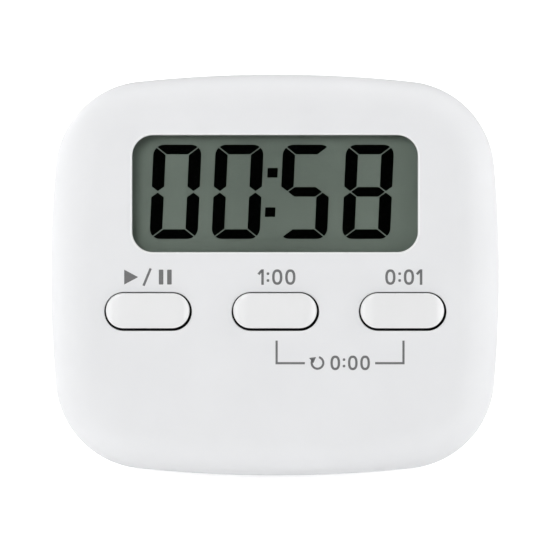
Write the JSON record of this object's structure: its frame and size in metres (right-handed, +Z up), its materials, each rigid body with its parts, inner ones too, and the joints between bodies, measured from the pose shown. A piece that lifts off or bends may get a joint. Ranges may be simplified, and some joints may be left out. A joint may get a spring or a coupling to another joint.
{
  "type": "kitchen timer",
  "caption": "Rounded white digital countdown timer with a clock display, push buttons for minutes, seconds and start, rear magnets, a battery door and a fold-out stand.",
  "frame": {"origin": "middle of the bounding box's bottom, on the table that the timer stands on", "axes": "+X across the face to the viewer's right, +Y from the front to the back, +Z up; the face leans back 30.8 degrees on the open stand"},
  "size_m": [0.076, 0.0456, 0.0635],
  "materials": {
    "case_white": "fine satin moulded ABS, slightly glossy",
    "stand_white": "satin moulded ABS",
    "button_white": "glossy moulded ABS",
    "black_tape": "matt adhesive foam tape",
    "clear_acrylic": "polished clear acrylic",
    "polariser_film": "smooth grey-green film",
    "lcd_glass": "polished thin glass",
    "lit_segment": "dark liquid-crystal segment",
    "epoxy_seal": "cured epoxy line",
    "lcd_reflector": "grey-green diffusing reflector",
    "frame_white": "matt moulded plastic",
    "zebra_rubber": "striped silicone connector",
    "board_green": "satin solder mask over glass-fibre board",
    "pad_gold": "plated contact pad",
    "chip_epoxy": "poured black epoxy",
    "bright_metal": "bright plated steel",
    "capacitor_tan": "fired ceramic chip with tinned ends",
    "ferrite": "ferrite drum with a copper winding",
    "solder": "bright tin solder",
    "screw_steel": "zinc-plated steel",
    "silicone_grey": "matt silicone rubber",
    "carbon_rubber": "matt conductive rubber",
    "magnet_nickel": "nickel-plated magnet",
    "piezo_brass": "thin brass disc",
    "piezo_ceramic": "silvered ceramic disc",
    "wire_red": "PVC insulation",
    "wire_black": "PVC insulation",
    "cell_sleeve": "satin printed sleeve over a metal can",
    "contact_nickel": "nickel-plated spring steel"
  },
  "bodies": {
    "case": {"front_case": "case_white", "lens_tape": "black_tape", "display_lens": "clear_acrylic", "lcd_polariser": "polariser_film", "lcd_front_glass": "lcd_glass", "lcd_segments": "lit_segment", "lcd_seal": "epoxy_seal", "lcd_rear_glass": "lcd_glass", "lcd_reflector": "lcd_reflector", "lcd_frame": "frame_white", "zebra_strip": "zebra_rubber", "circuit_board": "board_green", "contact_pads": "pad_gold", "chip_blob": "chip_epoxy", "crystal_can": "bright_metal", "chip_capacitors": "capacitor_tan", "boost_coil": "ferrite", "transistor": "chip_epoxy", "solder_joints": "solder", "board_screws": "screw_steel", "keypad_mat": "silicone_grey", "start_dome": "silicone_grey", "minute_dome": "silicone_grey", "second_dome": "silicone_grey", "rear_cover": "case_white", "case_screws": "screw_steel", "magnets": "magnet_nickel", "piezo_disc": "piezo_brass", "piezo_ceramic": "piezo_ceramic", "buzzer_lead_red": "wire_red", "buzzer_lead_black": "wire_black", "battery_lead_red": "wire_red", "battery_lead_black": "wire_black", "battery_can": "cell_sleeve", "battery_positive_cap": "bright_metal", "positive_contact": "contact_nickel", "negative_plate": "contact_nickel", "negative_spring": "contact_nickel"},
    "start_key": {"start_button": "button_white", "start_pill": "carbon_rubber"},
    "minute_key": {"minute_button": "button_white", "minute_pill": "carbon_rubber"},
    "second_key": {"second_button": "button_white", "second_pill": "carbon_rubber"},
    "door": {"battery_door": "case_white"},
    "stand": {"stand": "stand_white"}
  },
  "joints": [
    {"name": "start_press", "type": "slide", "parent": "case", "child": "start_key", "axis": [0, 0.859, -0.5119], "range_m": [0, 0.0009], "stiffness_N_per_m": 1500, "deforming": ["start_dome"]},
    {"name": "minute_press", "type": "slide", "parent": "case", "child": "minute_key", "axis": [0, 0.859, -0.5119], "range_m": [0, 0.0009], "stiffness_N_per_m": 1500, "deforming": ["minute_dome"]},
    {"name": "second_press", "type": "slide", "parent": "case", "child": "second_key", "axis": [0, 0.859, -0.5119], "range_m": [0, 0.0009], "stiffness_N_per_m": 1500, "deforming": ["second_dome"]},
    {"name": "battery_door_hinge", "type": "hinge", "parent": "case", "child": "door", "pos_m": [0, -0.00042, 0.01814], "axis": [1, 0, 0], "range_deg": [0, 80]},
    {"name": "stand_hinge", "type": "hinge", "parent": "case", "child": "stand", "pos_m": [0, 0.005, 0.02783], "axis": [1, 0, 0], "range_deg": [-40, 0]}
  ]
}
